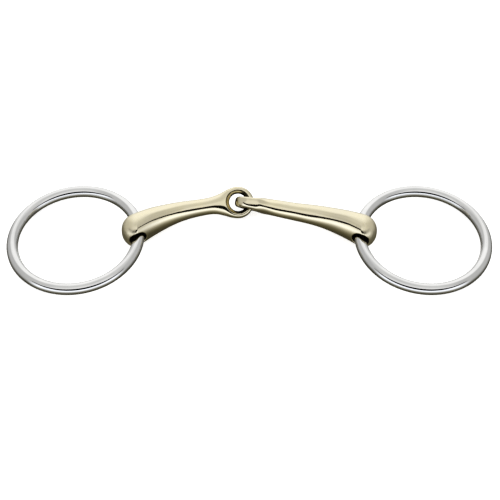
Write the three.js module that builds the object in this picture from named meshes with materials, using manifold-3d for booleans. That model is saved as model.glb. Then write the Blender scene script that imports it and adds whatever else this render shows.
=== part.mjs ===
// Single-jointed loose-ring snaffle bit, laid out on a table.
// Millimetres, +Z up. The table is z = 0, +X runs from the left cheek ring to the
// right one, and +Y points to the middle joint, so the mouthpiece bows towards +Y.
// The origin is under the middle of the bit, at table height.
import * as THREE from 'three';
import { mergeVertices } from 'three/addons/utils/BufferGeometryUtils.js';
import Module from 'manifold-3d';

const { clamp, degToRad, smootherstep } = THREE.MathUtils;

// ---------------------------------------------------------------- cheek rings
const RING_INNER_DIAMETER = 70;      // the size a loose ring is sold by
const WIRE_DIAMETER = 7;
const WIRE_RADIUS = WIRE_DIAMETER / 2;
const RING_RADIUS = (RING_INNER_DIAMETER + WIRE_DIAMETER) / 2; // to the wire's centre line
const RING_TILT = degToRad(4.2);     // the outer edge of each ring lies on the table
const RING_CENTRE_X = 105.15;
const RING_CENTRE_Z = WIRE_RADIUS + RING_RADIUS * Math.sin(RING_TILT);

// ------------------------------------------------- cross hole for the ring wire
const HOLE_RADIUS = 9.8 / 2;
const HOLE_FLARE_RADIUS = 12.4 / 2;  // its rounded mouths
const HOLE_ANGLE = degToRad(7);      // round the ring, from its inner side towards +Y
const HOLE_AXIS_SHIFT = 0.6;         // from the wire's centre line towards the ring's centre
const HOLE_LIFT = 0.85;              // and upwards: the wire lies low in its hole

// half profile of the hole's cutter: [radius, distance from the hole's middle]
const HOLE_PROFILE = [
  [HOLE_RADIUS, 5.8],
  [HOLE_RADIUS + 0.35, 7.6],
  [HOLE_FLARE_RADIUS, 9.6],
  [HOLE_FLARE_RADIUS, 20],
  [0, 20],
];

// ------------------------------------------------------- eye at the middle joint
const EYE_OUTER_RADIUS = 9.8;
const EYE_HOLE_RADIUS = 5.35;
const EYE_HALF_TIP = 3.1;            // half thickness of the eye at its tip
const EYE_HALF_NECK = 4.3;           // and where it meets the arm
const EYE_TAPER_POWER = 1.2;         // shapes the change between the two
const EYE_SQUARENESS = 2.7;          // of its section, as in the stations below
const BORE_CLEARANCE_RADIUS = 9.3;   // widest part of the bore, above and below the eye

// half profile of the bore's cutter: [radius, distance from the eye's middle]
const BORE_PROFILE = [
  [EYE_HOLE_RADIUS, 0.8],
  [EYE_HOLE_RADIUS + 0.5, 1.9],
  [EYE_HOLE_RADIUS + 1.3, 2.8],
  [EYE_HOLE_RADIUS + 2.6, 3.8],
  [BORE_CLEARANCE_RADIUS, 4.9],
  [BORE_CLEARANCE_RADIUS, 9],
  [0, 9],
];

// ---------------------------------------------------------------- mouthpiece arms
const BOSS_END_RADIUS = 9.7;         // outer end of an arm, in plan
const ROLL_START = 26;               // along the arm, where it starts to roll to its eye
const ROLL_END = 48;

// An arm's frame has its ring hole's axis along y through the origin, and its eye
// towards +x. An eye is rolled about x, then yawed about z, then moved to x, y, z.
// Squareness is a superellipse exponent: 2 is an ellipse, more is squarer.
const LEFT_ARM = {
  // [x, bow of the centre line, half width, half height, squareness]
  stations: [
    [0, 0.2, 9.4, 9.75, 2.4],
    [8, 4.4, 8.6, 9.1, 2.1],
    [16, 7.7, 7.35, 7.8, 2.1],
    [28, 11.45, 6.0, 6.15, 2.0],
    [42, 13.65, 5.2, 5.2, 2.0],
    [50, 14.6, 6.0, 4.85, 2.0],
    [54, 14.8, 7.2, 4.5, 2.1],
    [57.5, 14.9, 7.9, 3.8, 2.3],
  ],
  eye: { x: 62.9, y: 14.95, z: -0.85, yaw: degToRad(-2), roll: degToRad(34) },
};
// drawn in the same frame, and mirrored in x once built
const RIGHT_ARM = {
  // [x, bow of the centre line, half width, half height, squareness]
  stations: [
    [0, -0.5, 9.45, 9.75, 2.3],
    [8, 2.6, 8.4, 9.2, 2.05],
    [16, 5.1, 7.25, 7.9, 2.1],
    [28, 7.9, 6.35, 6.35, 2.0],
    [42, 9.6, 5.5, 5.5, 2.0],
    [55, 11.3, 5.6, 5.05, 2.0],
    [60, 11.8, 7.0, 4.6, 2.1],
    [63.6, 12.2, 7.9, 3.8, 2.3],
  ],
  eye: { x: 68.9, y: 12.6, z: -0.4, yaw: degToRad(5), roll: degToRad(-54) },
};

// ------------------------------------------------------------------- facet counts
const WIRE_SIDES = 16;
const RING_SEGMENTS = 48;
const SECTION_POINTS = 26;
const DRUM_ROWS = 7;                 // sections outboard of the ring hole
const BODY_ROWS = 20;                // sections from the ring hole to the eye
const ROW_SPACING_POWER = 0.96;      // below 1 packs the body's sections towards the eye
const EYE_SEGMENTS = 30;
const EYE_SECTION_SIDES = 12;
const HOLE_SEGMENTS = 24;
const SKIN_SEARCH_STEPS = 40;        // halvings when finding the skin of a section

const wasm = await Module();
wasm.setup();

// ------------------------------------------------------------------------ helpers
// Joins the seams and poles, so that the geometry is watertight
function weld(geometry) {
  geometry.deleteAttribute('normal');
  geometry.deleteAttribute('uv');
  return mergeVertices(geometry, 1e-4);
}

function toSolid(geometry) {
  const welded = weld(geometry);
  return new wasm.Manifold(new wasm.Mesh({
    numProp: 3,
    vertProperties: welded.attributes.position.array,
    triVerts: new Uint32Array(welded.index.array),
  }));
}

function toGeometry(solid) {
  const { vertProperties, triVerts } = solid.getMesh();
  const geometry = new THREE.BufferGeometry();
  geometry.setAttribute(
    'position',
    new THREE.BufferAttribute(new Float32Array(vertProperties), 3),
  );
  geometry.setIndex(new THREE.BufferAttribute(new Uint32Array(triVerts), 1));
  geometry.computeVertexNormals();
  return geometry;
}

// Natural cubic spline through (xs, ys), for x from xs[0] up
function spline(xs, ys) {
  const count = xs.length;
  const steps = xs.slice(1).map((x, i) => x - xs[i]);
  const slopes = steps.map((step, i) => (ys[i + 1] - ys[i]) / step);

  // second derivatives at the points, by forward elimination and back substitution
  const factors = new Array(count).fill(0);
  const partials = new Array(count).fill(0);
  const curvatures = new Array(count).fill(0);
  for (let i = 1; i < count - 1; i++) {
    const pivot = 2 * (steps[i - 1] + steps[i]) - steps[i - 1] * factors[i - 1];
    factors[i] = steps[i] / pivot;
    partials[i] = (6 * (slopes[i] - slopes[i - 1]) - steps[i - 1] * partials[i - 1]) / pivot;
  }
  for (let i = count - 2; i > 0; i--) {
    curvatures[i] = partials[i] - factors[i] * curvatures[i + 1];
  }

  return (x) => {
    let i = 0;
    while (i < count - 2 && x > xs[i + 1]) i++;
    const along = x - xs[i];
    const cubic = (curvatures[i + 1] - curvatures[i]) / (6 * steps[i]);
    const linear = slopes[i] - steps[i] * (2 * curvatures[i] + curvatures[i + 1]) / 6;
    return ys[i] + along * (linear + along * (curvatures[i] / 2 + along * cubic));
  };
}

// Cutter turned about y, the same on both sides of its middle
function turnedCutter(halfProfile, segments, middle = 0) {
  const lower = halfProfile.map(([radius, distance]) => [radius, -distance]).reverse();
  const points = [...lower, ...halfProfile]
    .map(([radius, distance]) => new THREE.Vector2(radius, middle + distance));
  return new THREE.LatheGeometry(points, segments);
}

// -------------------------------------------------------------------- arm's body
// Distance out to the skin of a unit section in one direction. `drum` runs from 0
// at the ring hole to 1 at the outer end, where the section closes up.
function skinDistance(cos, sin, squareness, drum) {
  let inside = 0;
  let outside = 1.5;
  for (let step = 0; step < SKIN_SEARCH_STEPS; step++) {
    const middle = (inside + outside) / 2;
    const across = Math.sqrt((middle * cos) ** 2 + drum ** 2);
    const level = across ** squareness + Math.abs(middle * sin) ** squareness;
    if (level < 1) inside = middle;
    else outside = middle;
  }
  return inside;
}

// A closed skin swept along the arm: a sphere's rows become the arm's sections.
// Outboard of the ring hole the arm is a rounded drum.
function armBody({ stations, eye }) {
  const xs = stations.map((station) => station[0]);
  const [bow, halfWidth, halfHeight, squareness] = [1, 2, 3, 4].map(
    (column) => spline(xs, stations.map((station) => station[column])),
  );
  const end = xs[xs.length - 1];
  const lastRow = DRUM_ROWS + BODY_ROWS + 1;
  const geometry = new THREE.SphereGeometry(1, SECTION_POINTS, lastRow);

  for (let row = 0; row <= lastRow; row++) {
    const x = row <= DRUM_ROWS
      ? -BOSS_END_RADIUS * Math.cos((row / (DRUM_ROWS + 0.5)) * Math.PI / 2)
      : end * ((row - DRUM_ROWS) / (BODY_ROWS + 1)) ** ROW_SPACING_POWER;
    const stationX = Math.max(0, x);
    const drum = Math.max(0, -x) / BOSS_END_RADIUS;
    const rise = eye.z * smootherstep(x, 0, eye.x);
    const roll = eye.roll * smootherstep(x, ROLL_START, ROLL_END);
    const isPole = row === 0 || row === lastRow;

    for (let k = 0; k <= SECTION_POINTS; k++) {
      // a negative angle keeps the sphere's faces pointing outwards
      const angle = -(k / SECTION_POINTS) * 2 * Math.PI;
      const cos = Math.cos(angle);
      const sin = Math.sin(angle);
      const reach = isPole ? 0 : skinDistance(cos, sin, squareness(stationX), drum);
      const across = reach * cos * halfWidth(stationX);
      const up = reach * sin * halfHeight(stationX);
      geometry.attributes.position.setXYZ(
        row * (SECTION_POINTS + 1) + k,
        x,
        bow(stationX) + (across * Math.cos(roll) - up * Math.sin(roll)),
        rise + (across * Math.sin(roll) + up * Math.cos(roll)),
      );
    }
  }
  return geometry;
}

// --------------------------------------------------------------------------- eye
function placeAtEye(geometry, eye) {
  geometry.rotateX(eye.roll);
  geometry.rotateZ(eye.yaw);
  return geometry.translate(eye.x, eye.y, eye.z);
}

// A thick rounded ring that tapers from the neck to its tip
function eyeRing(eye) {
  const middleRadius = (EYE_OUTER_RADIUS + EYE_HOLE_RADIUS) / 2;
  const halfBand = (EYE_OUTER_RADIUS - EYE_HOLE_RADIUS) / 2;
  const squared = (value) => Math.sign(value) * Math.abs(value) ** (2 / EYE_SQUARENESS);
  const profile = [];
  for (let i = 0; i < EYE_SECTION_SIDES; i++) {
    const angle = (i / EYE_SECTION_SIDES) * 2 * Math.PI - Math.PI / EYE_SECTION_SIDES;
    profile.push(new THREE.Vector2(
      middleRadius + halfBand * squared(Math.cos(angle)),
      squared(Math.sin(angle)),
    ));
  }
  profile.push(profile[0].clone());

  // the ring lies in the xy plane, one unit thick each way until it is tapered
  const geometry = new THREE.LatheGeometry(profile, EYE_SEGMENTS).rotateX(Math.PI / 2);
  const position = geometry.attributes.position;
  for (let i = 0; i < position.count; i++) {
    const towardsNeck = clamp((1 - position.getX(i) / EYE_OUTER_RADIUS) / 2, 0, 1);
    const half = EYE_HALF_TIP
      + (EYE_HALF_NECK - EYE_HALF_TIP) * towardsNeck ** EYE_TAPER_POWER;
    position.setZ(i, position.getZ(i) * half);
  }
  return placeAtEye(geometry, eye);
}

// --------------------------------------------------------------------- whole arm
function armSolid(arm) {
  // the bore also clears the eye's hole through the neck
  const bore = turnedCutter(BORE_PROFILE, EYE_SEGMENTS).rotateX(Math.PI / 2);
  const holeMiddle = arm.stations[0][1];
  const ringHole = turnedCutter(HOLE_PROFILE, HOLE_SEGMENTS, holeMiddle);
  return toSolid(armBody(arm))
    .add(toSolid(eyeRing(arm.eye)))
    .subtract(toSolid(placeAtEye(bore, arm.eye)))
    .subtract(toSolid(ringHole));
}

// --------------------------------------------------------------------- materials
const metal = ({ color, roughness }) => (
  new THREE.MeshStandardMaterial({ color, roughness, metalness: 1 })
);
const paleGold = () => metal({ color: 0xcdbf96, roughness: 0.28 });
const steel = () => metal({ color: 0xc9cbcc, roughness: 0.16 });

// ---------------------------------------------------------------------- assembly
// `side` is the sign of x: -1 left, +1 right
function ringMesh({ name, side }) {
  const geometry = weld(
    new THREE.TorusGeometry(RING_RADIUS, WIRE_RADIUS, WIRE_SIDES, RING_SEGMENTS),
  );
  geometry.rotateY(side * RING_TILT);              // inner edge raised by the arm
  geometry.translate(side * RING_CENTRE_X, 0, RING_CENTRE_Z);
  geometry.computeVertexNormals();
  const mesh = new THREE.Mesh(geometry, steel());
  mesh.name = `${name}_ring`;
  return mesh;
}

function armMesh({ name, side, arm }) {
  const solid = armSolid(arm);
  const geometry = toGeometry(side > 0 ? solid.mirror([1, 0, 0]) : solid);
  const mesh = new THREE.Mesh(geometry, paleGold());
  mesh.name = `${name}_mouthpiece_arm`;

  // the arm's origin is on the axis of its ring hole, in the tilted plane of the ring
  const fromRingCentre = RING_RADIUS - HOLE_AXIS_SHIFT;
  const inward = fromRingCentre * Math.cos(HOLE_ANGLE);
  mesh.rotation.z = -side * HOLE_ANGLE;
  mesh.position.set(
    side * (RING_CENTRE_X - inward * Math.cos(RING_TILT)),
    fromRingCentre * Math.sin(HOLE_ANGLE),
    RING_CENTRE_Z + inward * Math.sin(RING_TILT) + HOLE_LIFT,
  );
  return mesh;
}

const HALVES = [
  { name: 'left', side: -1, arm: LEFT_ARM },
  { name: 'right', side: 1, arm: RIGHT_ARM },
];

const bit = new THREE.Group();
bit.add(...HALVES.map(ringMesh), ...HALVES.map(armMesh));

export default bit;
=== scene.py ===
"""Single-jointed loose-ring snaffle bit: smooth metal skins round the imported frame, with studio set and camera.

Lengths inside the shape code are millimetres in the row frame; meshes are handed to Blender in metres.
"""

import math

import bpy
import numpy as np
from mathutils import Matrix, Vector


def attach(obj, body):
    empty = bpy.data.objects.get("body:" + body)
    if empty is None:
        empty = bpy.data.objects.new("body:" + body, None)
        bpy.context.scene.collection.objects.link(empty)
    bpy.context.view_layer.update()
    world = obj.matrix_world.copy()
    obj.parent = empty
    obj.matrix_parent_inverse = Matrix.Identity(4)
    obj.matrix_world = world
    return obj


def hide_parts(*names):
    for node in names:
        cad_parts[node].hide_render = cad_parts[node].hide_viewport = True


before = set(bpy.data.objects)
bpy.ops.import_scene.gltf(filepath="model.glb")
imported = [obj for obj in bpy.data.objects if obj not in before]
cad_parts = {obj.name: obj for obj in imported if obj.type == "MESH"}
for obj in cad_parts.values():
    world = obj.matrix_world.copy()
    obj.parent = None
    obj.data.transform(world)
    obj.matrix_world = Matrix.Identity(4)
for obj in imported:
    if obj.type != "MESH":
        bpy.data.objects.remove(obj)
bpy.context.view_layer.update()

STEP = 0.4  # spacing of the arms' mesh, mm

# ------------------------------------------------------------------ the shape
RAD = math.pi / 180

RING_RADIUS = 38.5
WIRE_RADIUS = 3.5
RING_CENTRE_X = 105.15
RING_TILT = 4.2 * RAD
PHI = 7 * RAD
HOLE_SHIFT = 0.6
RING_CENTRE_Z = WIRE_RADIUS + RING_RADIUS * math.sin(RING_TILT)
IN_PLANE = RING_RADIUS - HOLE_SHIFT
HOLE_X = RING_CENTRE_X - IN_PLANE * math.cos(PHI) * math.cos(RING_TILT)
HOLE_Y = IN_PLANE * math.sin(PHI)
HOLE_LIFT = 0.85
HOLE_Z = RING_CENTRE_Z + IN_PLANE * math.cos(PHI) * math.sin(RING_TILT) + HOLE_LIFT

BOSS_END = 9.7
EYE_OUT = 9.8
EYE_IN = 5.35
EYE_TIP = 3.1
EYE_NECK = 4.3

LEFT = dict(
    stations=[[0, 0.2, 9.4, 9.75, 2.4], [8, 4.4, 8.6, 9.1, 2.1], [16, 7.7, 7.35, 7.8, 2.1], [28, 11.45, 6.0, 6.15, 2.0],
              [42, 13.65, 5.2, 5.2, 2.0], [50, 14.6, 6.0, 4.85, 2.0], [54, 14.8, 7.2, 4.5, 2.1], [57.5, 14.9, 7.9, 3.8, 2.3]],
    eye=(62.9, 14.95, -0.85), yaw=-2 * RAD, roll=34 * RAD)
RIGHT = dict(
    stations=[[0, -0.5, 9.45, 9.75, 2.3], [8, 2.6, 8.4, 9.2, 2.05], [16, 5.1, 7.25, 7.9, 2.1], [28, 7.9, 6.35, 6.35, 2.0],
              [42, 9.6, 5.5, 5.5, 2.0], [55, 11.3, 5.6, 5.05, 2.0], [60, 11.8, 7.0, 4.6, 2.1], [63.6, 12.2, 7.9, 3.8, 2.3]],
    eye=(68.9, 12.6, -0.4), yaw=5 * RAD, roll=-54 * RAD)


class Spline:
    """Natural cubic spline, extended below its first knot so that it levels out over a short length."""

    def __init__(self, xs, ys, ease=2.0):
        xs, ys = np.array(xs, float), np.array(ys, float)
        n = len(xs)
        h = np.diff(xs)
        A = np.eye(n)
        r = np.zeros(n)
        for i in range(1, n - 1):
            A[i, i - 1], A[i, i], A[i, i + 1] = h[i - 1], 2 * (h[i - 1] + h[i]), h[i]
            r[i] = 6 * ((ys[i + 1] - ys[i]) / h[i] - (ys[i] - ys[i - 1]) / h[i - 1])
        self.m = np.linalg.solve(A, r)
        self.xs, self.ys, self.h, self.ease = xs, ys, h, ease
        self.slope0 = (ys[1] - ys[0]) / h[0] - h[0] * (2 * self.m[0] + self.m[1]) / 6

    def __call__(self, x):
        xs, ys, h, m = self.xs, self.ys, self.h, self.m
        xc = np.clip(x, xs[0], xs[-1])
        i = np.clip(np.searchsorted(xs, xc, side="right") - 1, 0, len(h) - 1)
        t = xc - xs[i]
        hi = h[i]
        s = (ys[i + 1] - ys[i]) / hi - hi * (2 * m[i] + m[i + 1]) / 6
        v = ys[i] + t * (s + t * (m[i] / 2 + t * (m[i + 1] - m[i]) / (6 * hi)))
        if self.ease:
            below = np.minimum(x - xs[0], 0)
            v = v - self.slope0 * self.ease * (1 - np.exp(below / self.ease))
        return v


def smooth(t):
    u = np.clip(t, 0, 1)
    return u * u * u * (u * (6 * u - 15) + 10)


def smin(a, b, k):
    h = np.maximum(k - np.abs(a - b), 0) / k
    return np.minimum(a, b) - h * h * h * k / 6


def smax(a, b, k):
    return -smin(-a, -b, k)


def superellipse(p, q, n):
    """rho = (p^n + q^n)^(1/n), for p, q >= 0."""
    return (p ** n + q ** n) ** (1 / n)


class Arm:
    def __init__(self, spec, ease=2.0, boss_n=None):
        st = spec["stations"]
        xs = [s[0] for s in st]
        self.bow = Spline(xs, [s[1] for s in st], ease)
        self.wide = Spline(xs, [s[2] for s in st], ease)
        self.high = Spline(xs, [s[3] for s in st], 0)
        ns = [s[4] for s in st]
        if boss_n:
            ns[0], ns[1] = boss_n
        self.square = Spline(xs, ns, 0)
        self.end = xs[-1]
        self.eye, self.yaw, self.roll = spec["eye"], spec["yaw"], spec["roll"]
        self.y0 = st[0][1]
        self.fillet = 4.2
        self.crest = 0.5  # rounding of the countersink's edge
        self.rim = 1.1  # and of the ring hole's mouths

    def body(self, P):
        x, y, z = P[:, 0], P[:, 1], P[:, 2]
        xc = np.clip(x, 0, self.end)
        a, b, n, c = self.wide(np.minimum(x, self.end)), self.high(xc), self.square(xc), self.bow(np.minimum(x, self.end))
        roll = self.roll * smooth((x - 26) / 22)
        rise = self.eye[2] * smooth(x / self.eye[0])
        dy, dz = y - c, z - rise
        cr, sr = np.cos(roll), np.sin(roll)
        u, v = dy * cr + dz * sr, -dy * sr + dz * cr
        dx = np.minimum(x, 0) / BOSS_END
        U = np.sqrt((u / a) ** 2 + dx ** 2) + 1e-12
        V = np.abs(v / b) + 1e-12
        rho = (U ** n + V ** n) ** (1 / n)
        # gradient of rho, for a distance in mm
        gU = (U / rho) ** (n - 1)
        gV = (V / rho) ** (n - 1)
        gu = gU * (u / a) / U / a
        gx = gU * dx / U / BOSS_END
        gv = gV / b
        g = np.sqrt(gu * gu + gx * gx + gv * gv) + 1e-6
        d = (rho - 1) / g
        d = np.clip(d, -6, 60)
        # the loft ends inside the eye
        return smax(d, x - self.end, 2.0)

    def to_eye(self, P):
        q = P - np.array(self.eye)
        cy, sy = math.cos(self.yaw), math.sin(self.yaw)
        x, y, z = q[:, 0] * cy + q[:, 1] * sy, -q[:, 0] * sy + q[:, 1] * cy, q[:, 2]
        cr, sr = math.cos(self.roll), math.sin(self.roll)
        return x, y * cr + z * sr, -y * sr + z * cr

    def eye_ring(self, x, y, h):
        r = np.sqrt(x * x + y * y) + 1e-9
        rc, hr = (EYE_OUT + EYE_IN) / 2, (EYE_OUT - EYE_IN) / 2
        s = np.clip((1 - x / EYE_OUT) / 2, 0, 1)
        t = EYE_TIP + 0.75 * s ** 1.2
        n = 2.5
        p, q = np.abs(r - rc) / hr + 1e-12, np.abs(h) / t + 1e-12
        rho = (p ** n + q ** n) ** (1 / n)
        g = np.sqrt(((p / rho) ** (n - 1) / hr) ** 2 + ((q / rho) ** (n - 1) / t) ** 2) + 1e-6
        return np.clip((rho - 1) / g, -2.2, 60)

    def eye_bore(self, x, y, h):
        """Negative inside the eye's hole, whose mouths are countersunk."""
        r = np.sqrt(x * x + y * y)
        q = np.abs(h) - 1.65
        soft = np.sqrt(q * q + 0.12)
        w = smin(EYE_IN + 0.53 * (q + soft), 7.35, 0.8)
        slope = np.where(w < 7.1, 0.53 * (1 + q / soft), 0.0)
        return (r - w) / np.sqrt(1 + slope ** 2)

    def ring_hole(self, P):
        r = np.sqrt(P[:, 0] ** 2 + P[:, 2] ** 2)
        a = np.abs(P[:, 1] - self.y0)
        w = 4.9 + 0.062 * np.maximum(a - 5.2, 0) ** 2
        slope = 0.124 * np.maximum(a - 5.2, 0)
        return (r - w) / np.sqrt(1 + slope ** 2)

    def field(self, P):
        x, y, h = self.to_eye(P)
        d = smin(self.body(P), self.eye_ring(x, y, h), self.fillet)
        d = smax(d, -self.eye_bore(x, y, h), self.crest)
        return smax(d, -self.ring_hole(P), self.rim)

    def marks(self, P):
        """Across the countersink's edge in mm, and how far inside a hole, 0 to 1."""
        x, y, h = self.to_eye(P)
        skin = smin(self.body(P), self.eye_ring(x, y, h), self.fillet)
        bore, hole = self.eye_bore(x, y, h), self.ring_hole(P)
        edge = np.clip(bore, 0, 5) + np.clip(skin, -5, 0)
        edge = np.where(np.sqrt(x * x + y * y) < 9.2, edge, 5.0)
        wall = smooth((1.7 - np.abs(h)) / 0.45) * (bore < 0.25)
        tunnel = smooth((-skin - 0.35) / 1.0) * (hole < 0.3)
        return edge, np.maximum(wall, tunnel)

    def gradient(self, P, e=0.01):
        g = np.empty_like(P)
        for k in range(3):
            s = np.zeros(3)
            s[k] = e
            g[:, k] = (self.field(P + s) - self.field(P - s)) / (2 * e)
        return g


def surface_net(field, lo, hi, step):
    """Quads round field = 0: one vertex per crossed cell."""
    n = np.ceil((np.array(hi) - np.array(lo)) / step).astype(int) + 1
    ax = [lo[k] + step * np.arange(n[k]) for k in range(3)]
    F = np.empty(n, np.float64)
    for i in range(0, n[0], 16):
        X, Y, Z = np.meshgrid(ax[0][i:i + 16], ax[1], ax[2], indexing="ij")
        F[i:i + 16] = field(np.stack([X.ravel(), Y.ravel(), Z.ravel()], 1)).reshape(X.shape)
    inside = F < 0
    c = n - 1
    acc = np.zeros(tuple(c) + (3,))
    cnt = np.zeros(tuple(c))
    edges = {}
    for k in range(3):
        sl0 = [slice(None)] * 3
        sl1 = [slice(None)] * 3
        sl0[k], sl1[k] = slice(0, -1), slice(1, None)
        f0, f1 = F[tuple(sl0)], F[tuple(sl1)]
        cross = inside[tuple(sl0)] != inside[tuple(sl1)]
        t = np.where(cross, f0 / np.where(cross, f0 - f1, 1), 0)
        edges[k] = (cross, inside[tuple(sl0)])
        idx = np.argwhere(cross)
        pos = idx.astype(float)
        pos[:, k] += t[tuple(idx.T)]
        o = [j for j in range(3) if j != k]
        for da in (0, 1):
            for db in (0, 1):
                cell = idx.copy()
                cell[:, o[0]] -= da
                cell[:, o[1]] -= db
                ok = np.all((cell >= 0) & (cell < c), axis=1)
                ci = tuple(cell[ok].T)
                np.add.at(acc, ci, pos[ok])
                np.add.at(cnt, ci, 1)
    has = cnt > 0
    index = np.full(tuple(c), -1)
    index[has] = np.arange(has.sum())
    V = acc[has] / cnt[has][:, None] * step + np.array(lo)
    Q = []
    for k in range(3):
        cross, ins = edges[k]
        idx = np.argwhere(cross)
        a, b = (k + 1) % 3, (k + 2) % 3
        quad = []
        for da, db in ((1, 1), (0, 1), (0, 0), (1, 0)):
            cell = idx.copy()
            cell[:, a] -= da
            cell[:, b] -= db
            quad.append(index[tuple(cell.T)])
        quad = np.stack(quad, 1)
        flip = ~ins[tuple(idx.T)]
        quad[flip] = quad[flip][:, ::-1]
        Q.append(quad)
    return V, np.concatenate(Q)


def neighbours(Q, n):
    e = np.concatenate([Q[:, [0, 1]], Q[:, [1, 2]], Q[:, [2, 3]], Q[:, [3, 0]]])
    e = np.unique(np.sort(e, 1), axis=0)
    return np.concatenate([e, e[:, ::-1]])


def relax(V, Q, field, gradient, rounds=6, pull=0.6):
    e = neighbours(Q, len(V))
    deg = np.bincount(e[:, 0], minlength=len(V)).astype(float)
    for it in range(rounds):
        mean = np.stack([np.bincount(e[:, 0], V[e[:, 1], k], len(V)) for k in range(3)], 1) / deg[:, None]
        g = gradient(V)
        n = g / np.linalg.norm(g, axis=1)[:, None]
        d = mean - V
        d -= (d * n).sum(1)[:, None] * n
        V = V + pull * d
        f = field(V)
        g = gradient(V)
        V = V - (f / (g * g).sum(1))[:, None] * g
    for it in range(2):
        f, g = field(V), gradient(V)
        V = V - (f / (g * g).sum(1))[:, None] * g
    return V


def build_arm(spec, side, step=0.5, **kw):
    """World mm vertices, quads, outward normals."""
    arm = Arm(spec, **kw)
    ex = arm.eye[0] + 11.5
    # grid corners from which the surface comes out with two faces on every edge
    corner = (-11.59, -13.63, -11.82) if side > 0 else (-11.63, -13.57, -11.61)
    V, Q = surface_net(arm.field, corner, (ex, arm.eye[1] + 13.5, 12.0), step)
    V = relax(V, Q, arm.field, arm.gradient)
    g = arm.gradient(V)
    N = g / np.linalg.norm(g, axis=1)[:, None]
    local = V.copy()
    if side > 0:
        V = V * [-1, 1, 1]
        N = N * [-1, 1, 1]
        Q = Q[:, ::-1]
    c, s = math.cos(-side * PHI), math.sin(-side * PHI)
    R = np.array([[c, -s, 0], [s, c, 0], [0, 0, 1]])
    V = V @ R.T + [side * HOLE_X, HOLE_Y, HOLE_Z]
    N = N @ R.T
    return V, Q, N, local, arm


def build_ring(side, around=320, sides=40):
    t = np.arange(around) / around * 2 * math.pi
    p = np.arange(sides) / sides * 2 * math.pi
    T, Pp = np.meshgrid(t, p, indexing="ij")
    r = RING_RADIUS + WIRE_RADIUS * np.cos(Pp)
    V = np.stack([r * np.cos(T), r * np.sin(T), WIRE_RADIUS * np.sin(Pp)], -1).reshape(-1, 3)
    N = np.stack([np.cos(Pp) * np.cos(T), np.cos(Pp) * np.sin(T), np.sin(Pp)], -1).reshape(-1, 3)
    c, s = math.cos(side * RING_TILT), math.sin(side * RING_TILT)
    R = np.array([[c, 0, s], [0, 1, 0], [-s, 0, c]])
    V = V @ R.T + [side * RING_CENTRE_X, 0, RING_CENTRE_Z]
    N = N @ R.T
    i, j = np.meshgrid(np.arange(around), np.arange(sides), indexing="ij")
    a = (i * sides + j).ravel()
    b = (((i + 1) % around) * sides + j).ravel()
    cc = (((i + 1) % around) * sides + (j + 1) % sides).ravel()
    d = (i * sides + (j + 1) % sides).ravel()
    return V, np.stack([a, b, cc, d], 1), N, T.ravel(), Pp.ravel()


# ----------------------------------------------------------------- the meshes
def make_object(name, V, Q, N, attributes, uv):
    mesh = bpy.data.meshes.new(name)
    mesh.vertices.add(len(V))
    mesh.vertices.foreach_set("co", (V / 1000).astype(np.float32).ravel())
    mesh.loops.add(len(Q) * 4)
    mesh.loops.foreach_set("vertex_index", Q.astype(np.int32).ravel())
    mesh.polygons.add(len(Q))
    mesh.polygons.foreach_set("loop_start", np.arange(0, len(Q) * 4, 4, dtype=np.int32))
    mesh.update(calc_edges=True)
    mesh.validate()
    mesh.polygons.foreach_set("use_smooth", np.ones(len(mesh.polygons), bool))
    for key, values in attributes.items():
        layer = mesh.attributes.new(key, "FLOAT", "POINT")
        layer.data.foreach_set("value", values.astype(np.float32))
    layer = mesh.uv_layers.new(name="UVMap")
    layer.data.foreach_set("uv", uv.astype(np.float32).ravel())
    mesh.normals_split_custom_set_from_vertices([tuple(n) for n in N])
    obj = bpy.data.objects.new(name, mesh)
    bpy.context.scene.collection.objects.link(obj)
    return obj


def loop_uv(u, v, Q):
    """Per-corner UVs, unwrapped over the seam where v or u jumps from 1 to 0."""
    out = np.stack([u[Q], v[Q]], 2)
    for k in (0, 1):
        c = out[:, :, k]
        split = (c.max(1) - c.min(1)) > 0.5
        c[split] += c[split] < 0.5
    return out.reshape(-1, 2)


def add_arm(name, spec, side, body, node):
    V, Q, N, local, arm = build_arm(spec, side, STEP)
    edge, inside = arm.marks(local)
    centre = np.stack([local[:, 0], arm.bow(np.minimum(local[:, 0], arm.end)), arm.eye[2] * smooth(local[:, 0] / arm.eye[0])], 1)
    angle = np.arctan2(local[:, 2] - centre[:, 2], local[:, 1] - centre[:, 1])
    uv = loop_uv((local[:, 0] + 12) / 100, angle / (2 * math.pi) + 0.5, Q)
    obj = make_object(name, V, Q, N, {
        "edge_mm": edge,
        "inside": inside,
        "along_mm": local[:, 0],
        "across_mm": angle * 6,
    }, uv)
    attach(obj, body)
    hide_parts(node)
    return obj


def add_ring(name, side, body, node):
    V, Q, N, t, p = build_ring(side)
    uv = loop_uv(t / (2 * math.pi), p / (2 * math.pi), Q)
    obj = make_object(name, V, Q, N, {
        "turn_x": np.cos(p) * WIRE_RADIUS,
        "turn_y": np.sin(p) * WIRE_RADIUS,
        "along_mm": t * RING_RADIUS,
    }, uv)
    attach(obj, body)
    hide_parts(node)
    return obj


left_arm = add_arm("left_mouthpiece_arm_skin", LEFT, -1, "left_arm", "left_mouthpiece_arm")
right_arm = add_arm("right_mouthpiece_arm_skin", RIGHT, 1, "right_arm", "right_mouthpiece_arm")
left_ring = add_ring("left_ring_skin", -1, "left_ring", "left_ring")
right_ring = add_ring("right_ring_skin", 1, "right_ring", "right_ring")


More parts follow.
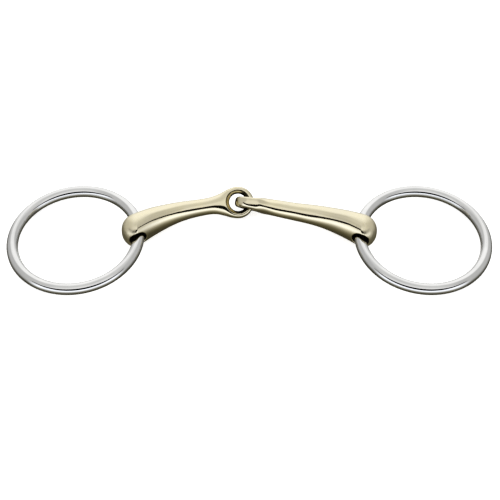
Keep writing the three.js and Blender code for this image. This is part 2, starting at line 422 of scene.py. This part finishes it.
# -------------------------------------------------------------- node helpers
class Nodes:
    def __init__(self, tree):
        self.tree = tree
        tree.nodes.clear()

    def add(self, kind, inputs=None, **props):
        n = self.tree.nodes.new(kind)
        for k, v in props.items():
            setattr(n, k, v)
        for k, v in (inputs or {}).items():
            self.put(v, n.inputs[k])
        return n

    def put(self, v, socket):
        if isinstance(v, bpy.types.NodeSocket):
            self.tree.links.new(v, socket)
        elif isinstance(v, bpy.types.Node):
            self.tree.links.new(v.outputs[0], socket)
        else:
            socket.default_value = v

    def math(self, op, a, b=None, c=None, clamp=False):
        n = self.add("ShaderNodeMath", operation=op, use_clamp=clamp)
        for i, v in enumerate((a, b, c)):
            if v is not None:
                self.put(v, n.inputs[i])
        return n.outputs[0]

    def remap(self, v, a, b, c, d, kind="LINEAR"):
        n = self.add("ShaderNodeMapRange", interpolation_type=kind)
        for k, x in (("Value", v), ("From Min", a), ("From Max", b), ("To Min", c), ("To Max", d)):
            self.put(x, n.inputs[k])
        return n.outputs[0]

    def mix(self, f, a, b, mode="MIX"):
        n = self.add("ShaderNodeMix", data_type="RGBA", blend_type=mode)
        self.put(f, n.inputs[0])
        self.put(a, n.inputs[6])
        self.put(b, n.inputs[7])
        return n.outputs[2]

    def noise(self, vector, scale, detail=3.0, rough=0.5, kind="3D"):
        return self.add("ShaderNodeTexNoise", {"Vector": vector, "Scale": scale, "Detail": detail, "Roughness": rough}, noise_dimensions=kind).outputs[0]

    def ramp(self, v, stops, mode="LINEAR"):
        n = self.add("ShaderNodeValToRGB", {"Fac": v})
        r = n.color_ramp
        r.interpolation = mode
        while len(r.elements) < len(stops):
            r.elements.new(0.5)
        for e, (p, c) in zip(r.elements, stops):
            e.position = p
            e.color = (*c, 1) if isinstance(c, tuple) else (c, c, c, 1)
        return n.outputs[0]

    def attribute(self, name):
        return self.add("ShaderNodeAttribute", attribute_name=name, attribute_type="GEOMETRY").outputs["Fac"]

    def vector(self, x, y, z):
        return self.add("ShaderNodeCombineXYZ", {0: x, 1: y, 2: z}).outputs[0]


def new_material(name):
    m = bpy.data.materials.new(name)
    m.use_nodes = True
    return m, Nodes(m.node_tree)


# ------------------------------------------------------------------ materials
def pale_gold():
    m, n = new_material("pale_gold_alloy")
    along, across, inside = n.attribute("along_mm"), n.attribute("across_mm"), n.attribute("inside")
    spot = n.add("ShaderNodeTexCoord").outputs["Object"]
    # colour: slight drift in the alloy and patches of tarnish
    drift = n.noise(spot, 90, 3, 0.55)
    cloud = n.noise(spot, 420, 4, 0.6)
    base = n.mix(n.remap(drift, 0.35, 0.65, 0, 1), (0.735, 0.672, 0.485, 1), (0.705, 0.650, 0.490, 1))
    base = n.mix(n.remap(cloud, 0.45, 0.75, 0, 0.10), base, (0.56, 0.49, 0.30, 1))
    patch = n.noise(spot, 900, 3, 0.6)
    # painted shade: the walls inside the eye's bore and the ring holes are darkened nearly to black
    hole_shade = n.math("MULTIPLY", inside, n.remap(patch, 0.3, 0.7, 0.82, 1.0))
    base = n.mix(hole_shade, base, (0.055, 0.045, 0.028, 1))
    # painted shade: a thin dark line along the countersink's edge, with a shallow groove in the bump and a little more
    # roughness
    off = n.math("ABSOLUTE", n.attribute("edge_mm"))
    edge_shade = n.math("MULTIPLY", n.remap(off, 0.16, 0.42, 1, 0, "SMOOTHSTEP"), n.remap(patch, 0.25, 0.6, 0.8, 1.0))
    base = n.mix(edge_shade, base, (0.045, 0.038, 0.022, 1))
    # polishing marks run along the arm; a few finer ones cross them
    lines = n.noise(n.vector(n.math("MULTIPLY", along, 0.10), n.math("MULTIPLY", across, 2.6), n.math("MULTIPLY", drift, 2.0)), 1.0, 5, 0.62)
    cross = n.noise(n.vector(n.math("MULTIPLY", along, 2.2), n.math("MULTIPLY", across, 0.16), 7.3), 1.0, 4, 0.6)
    rough = n.math("ADD", n.remap(lines, 0.3, 0.7, 0.045, 0.12), n.remap(cross, 0.4, 0.75, 0.0, 0.03))
    rough = n.math("ADD", rough, n.math("MULTIPLY", hole_shade, 0.25))
    rough = n.math("ADD", rough, n.math("MULTIPLY", edge_shade, 0.25))
    # the ends are less finely polished than the bars
    rough = n.math("ADD", rough, n.remap(along, 0.3, -3.2, 0, 0.27, "SMOOTHSTEP"))
    rough = n.math("ADD", rough, n.remap(cloud, 0.5, 0.8, 0, 0.04), clamp=True)
    wave = n.noise(spot, 120, 1.5, 0.4)
    height = n.math("ADD", n.math("MULTIPLY", wave, 0.000045), n.math("MULTIPLY", lines, 0.0000022))
    height = n.math("ADD", height, n.math("MULTIPLY", cross, 0.0000012))
    height = n.math("SUBTRACT", height, n.math("MULTIPLY", edge_shade, 0.00004))
    bump = n.add("ShaderNodeBump", {"Strength": 1.0, "Distance": 1.0, "Height": height})
    shader = n.add("ShaderNodeBsdfPrincipled", {"Base Color": base, "Metallic": 1.0, "Roughness": rough, "Normal": bump})
    n.add("ShaderNodeOutputMaterial", {"Surface": shader})
    return m


def ring_steel():
    m, n = new_material("polished_ring_steel")
    tx, ty, along = n.attribute("turn_x"), n.attribute("turn_y"), n.attribute("along_mm")
    spot = n.add("ShaderNodeTexCoord").outputs["Object"]
    drift = n.noise(spot, 70, 3, 0.55)
    base = n.mix(n.remap(drift, 0.35, 0.65, 0, 1), (0.70, 0.697, 0.685, 1), (0.64, 0.64, 0.63, 1))
    # drawn-wire lines run round the ring; buffing marks cross them
    drawn = n.noise(n.vector(n.math("MULTIPLY", tx, 1.5), n.math("MULTIPLY", ty, 1.5), n.math("MULTIPLY", along, 0.035)), 1.0, 5, 0.65)
    buffed = n.noise(n.vector(n.math("MULTIPLY", tx, 0.22), n.math("MULTIPLY", ty, 0.22), n.math("MULTIPLY", along, 1.7)), 1.0, 4, 0.6)
    haze = n.noise(spot, 260, 4, 0.6)
    rough = n.math("ADD", n.remap(drawn, 0.3, 0.7, 0.015, 0.06), n.remap(buffed, 0.4, 0.75, 0.0, 0.02))
    rough = n.math("ADD", rough, n.remap(haze, 0.5, 0.8, 0.0, 0.02), clamp=True)
    wave = n.noise(spot, 90, 1.5, 0.4)
    height = n.math("ADD", n.math("MULTIPLY", wave, 0.00003), n.math("MULTIPLY", drawn, 0.0000015))
    height = n.math("ADD", height, n.math("MULTIPLY", buffed, 0.000001))
    bump = n.add("ShaderNodeBump", {"Strength": 1.0, "Distance": 1.0, "Height": height})
    shader = n.add("ShaderNodeBsdfPrincipled", {"Base Color": base, "Metallic": 1.0, "Roughness": rough, "Normal": bump})
    n.add("ShaderNodeOutputMaterial", {"Surface": shader})
    return m


gold = pale_gold()
steel = ring_steel()
for o in (left_arm, right_arm):
    o.data.materials.append(gold)
for o in (left_ring, right_ring):
    o.data.materials.append(steel)


# --------------------------------------------------------------- studio set
def studio_group():
    """What polished metal sees in direction Vector: a light tent over a dark bench, with a seam in its front."""
    g = bpy.data.node_groups.new("studio", "ShaderNodeTree")
    g.interface.new_socket("Direction", in_out="INPUT", socket_type="NodeSocketVector")
    g.interface.new_socket("Color", in_out="OUTPUT", socket_type="NodeSocketColor")
    n = Nodes(g)
    inp = n.add("NodeGroupInput")
    xyz = n.add("ShaderNodeSeparateXYZ", {0: inp.outputs[0]})
    elevation = n.math("MULTIPLY", n.math("ARCSINE", xyz.outputs[2]), 180 / math.pi)
    t = n.remap(elevation, -90, 90, 0, 1)

    def stops(pairs):
        return [((e + 90) / 180, c) for e, c in pairs]

    flat = n.math("MAXIMUM", n.math("COSINE", n.math("MULTIPLY", elevation, math.pi / 180)), 0.001)
    facing = n.math("DIVIDE", n.math("MULTIPLY", xyz.outputs[1], -1.0), flat)  # 1 towards -Y, -1 towards +Y
    front, side, back = (n.ramp(t, stops(s)) for s in (FRONT, SIDE, BACK))
    both = n.mix(n.remap(facing, 0.25, 0.62, 0, 1, "SMOOTHSTEP"), side, front)
    both = n.mix(n.remap(facing, -0.70, -0.97, 0, 1, "SMOOTHSTEP"), both, back)
    # the gap between two panels of the tent, widest in the middle
    half = n.math("MULTIPLY", n.math("POWER", n.math("MAXIMUM", facing, 0.0), 1.15), SEAM_HALF)
    from_edge = n.math("SUBTRACT", half, n.math("ABSOLUTE", n.math("SUBTRACT", elevation, SEAM_ELEVATION)))
    seam = n.math("MULTIPLY", n.remap(from_edge, -0.6, 0.6, 0, 1, "SMOOTHSTEP"), n.remap(facing, 0.20, 0.30, 0, 1, "SMOOTHSTEP"))
    both = n.mix(seam, both, (0.004, 0.004, 0.0035, 1))
    scaled = n.add("ShaderNodeVectorMath", {0: both, 1: (2.0, 2.0, 2.0)}, operation="MULTIPLY")
    n.add("NodeGroupOutput", {0: scaled.outputs[0]})
    return g


# half the light arriving from each elevation, in degrees
FRONT = [(-90, (0.046, 0.043, 0.030)), (-60, (0.055, 0.052, 0.036)), (-44, (0.084, 0.080, 0.060)), (-34, (0.128, 0.124, 0.103)),
         (-24, (0.205, 0.202, 0.185)), (-12, (0.40, 0.40, 0.395)), (-4, (0.66, 0.675, 0.71)), (3, (0.76, 0.79, 0.86)),
         (12, (0.75, 0.78, 0.85)), (20, (0.66, 0.67, 0.70)), (44, (0.53, 0.53, 0.535)), (70, (0.51, 0.51, 0.51)),
         (78, (0.44, 0.44, 0.44)), (90, (0.395, 0.395, 0.39))]
SIDE = [(-90, (0.040, 0.037, 0.027)), (-46, (0.050, 0.048, 0.037)), (-30, (0.064, 0.062, 0.052)), (-20, (0.100, 0.098, 0.087)),
        (-12, (0.16, 0.158, 0.15)), (-4, (0.235, 0.235, 0.23)), (5, (0.295, 0.295, 0.295)), (18, (0.34, 0.34, 0.34)), (55, (0.35, 0.35, 0.35)),
        (68, (0.43, 0.43, 0.43)), (90, (0.40, 0.40, 0.395))]
BACK = [(-90, (0.05, 0.047, 0.036)), (-45, (0.11, 0.107, 0.095)), (-22, (0.38, 0.38, 0.375)), (-6, (0.56, 0.56, 0.56)),
        (10, (0.65, 0.65, 0.65)), (45, (0.65, 0.65, 0.65)), (60, (0.50, 0.50, 0.50)), (76, (0.40, 0.40, 0.40)), (90, (0.40, 0.40, 0.395))]
SEAM_ELEVATION, SEAM_HALF = 33.0, 15.0

group = studio_group()

world = bpy.data.worlds.new("studio_world")
bpy.context.scene.world = world
world.use_nodes = True
n = Nodes(world.node_tree)
path = n.add("ShaderNodeLightPath")
look = n.add("ShaderNodeTexCoord").outputs["Generated"]
seen = n.add("ShaderNodeGroup")
seen.node_tree = group
n.put(look, seen.inputs[0])
paper = n.mix(path.outputs["Is Glossy Ray"], (1.0, 1.0, 1.0, 1), seen.outputs[0])
background = n.add("ShaderNodeBackground", {"Color": paper, "Strength": 1.0})
n.add("ShaderNodeOutputWorld", {"Surface": background})

# the floor lies just under the lowest point of the bit, so a ring that swings down is still seen
level = bpy.data.objects.new("floor_level", None)
bpy.context.scene.collection.objects.link(level)
bpy.ops.mesh.primitive_plane_add(size=8)
floor = bpy.context.object
floor.name = "floor"
floor.parent = level
floor.location = (0, 0, -(WIRE_RADIUS + 0.4) / 1000)
lowest = level.driver_add("location", 2).driver
lowest.type = "MIN"


def feelers(body, points):
    """Points in mm that ride on a body; the floor stays a wire's radius under the lowest of them."""
    carrier = bpy.data.objects.new("feelers_" + body, None)
    bpy.context.scene.collection.objects.link(carrier)
    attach(carrier, body)
    for i, point in enumerate(points):
        tip = bpy.data.objects.new("feeler_%s_%d" % (body, i), None)
        bpy.context.scene.collection.objects.link(tip)
        tip.parent = carrier
        tip.location = [c / 1000 for c in point]
        var = lowest.variables.new()
        var.name = "%s_%d" % (body, i)
        var.type = "TRANSFORMS"
        var.targets[0].id = tip
        var.targets[0].transform_type = "LOC_Z"
        var.targets[0].transform_space = "WORLD_SPACE"


for side, name in ((-1, "left"), (1, "right")):
    feelers(name + "_ring", [
        (side * (RING_CENTRE_X + RING_RADIUS * math.cos(a) * math.cos(RING_TILT)), RING_RADIUS * math.sin(a), RING_CENTRE_Z - RING_RADIUS * math.cos(a) * math.sin(RING_TILT))
        for a in (k * math.pi / 12 for k in range(24))])
    feelers(name + "_arm", [
        (side * HOLE_X + dx, HOLE_Y + dy, HOLE_Z + dz) for dx, dy, dz in ((6, 0, 0), (-6, 0, 0), (0, 6, 0), (0, -6, 0), (0, 0, 6), (0, 0, -6))])
m, n = new_material("pale_floor")
path = n.add("ShaderNodeLightPath")
geometry = n.add("ShaderNodeNewGeometry")
away = n.add("ShaderNodeVectorMath", {0: geometry.outputs["Incoming"], 1: (-1, -1, -1)}, operation="MULTIPLY")
seen = n.add("ShaderNodeGroup")
seen.node_tree = group
n.put(away.outputs[0], seen.inputs[0])
mirror = n.add("ShaderNodeEmission", {"Color": seen.outputs[0], "Strength": 1.0})
paper = n.add("ShaderNodeBsdfDiffuse", {"Color": (0.86, 0.86, 0.86, 1)})
glow = n.add("ShaderNodeEmission", {"Color": (1, 1, 1, 1), "Strength": 0.62})
pale = n.add("ShaderNodeAddShader", {0: paper, 1: glow})
pick = n.add("ShaderNodeMixShader", {0: path.outputs["Is Glossy Ray"], 1: pale, 2: mirror})
n.add("ShaderNodeOutputMaterial", {"Surface": pick})
floor.data.materials.append(m)

soft = bpy.data.lights.new("softbox", "AREA")
soft.shape = "RECTANGLE"
soft.size, soft.size_y = 1.4, 1.0
soft.energy = 3.0
soft_obj = bpy.data.objects.new("softbox", soft)
soft_obj.location = (0, 0.25, 1.1)
soft_obj.rotation_euler = (Vector((0, 0, 0)) - soft_obj.location).to_track_quat("-Z", "Y").to_euler()
soft_obj.visible_glossy = False
bpy.context.scene.collection.objects.link(soft_obj)

camera = bpy.data.objects.new("camera", bpy.data.cameras.new("camera"))
camera.data.sensor_width = 36
camera.data.lens = 115.2
camera.location = (0.0004, -0.6222, 0.7476)
camera.rotation_euler = (math.radians(39.62), 0, 0)
camera.data.clip_start, camera.data.clip_end = 0.01, 20
bpy.context.scene.collection.objects.link(camera)
bpy.context.scene.camera = camera
bpy.context.scene.view_settings.view_transform = "Standard"
bpy.context.scene.view_settings.look = "None"
# a little more depth in the shadows
bpy.context.scene.view_settings.use_curve_mapping = True
curves = bpy.context.scene.view_settings.curve_mapping
for x, y in ((0.03, 0.016), (0.12, 0.095), (0.35, 0.335), (0.65, 0.66)):
    curves.curves[3].points.new(x, y)
curves.update()
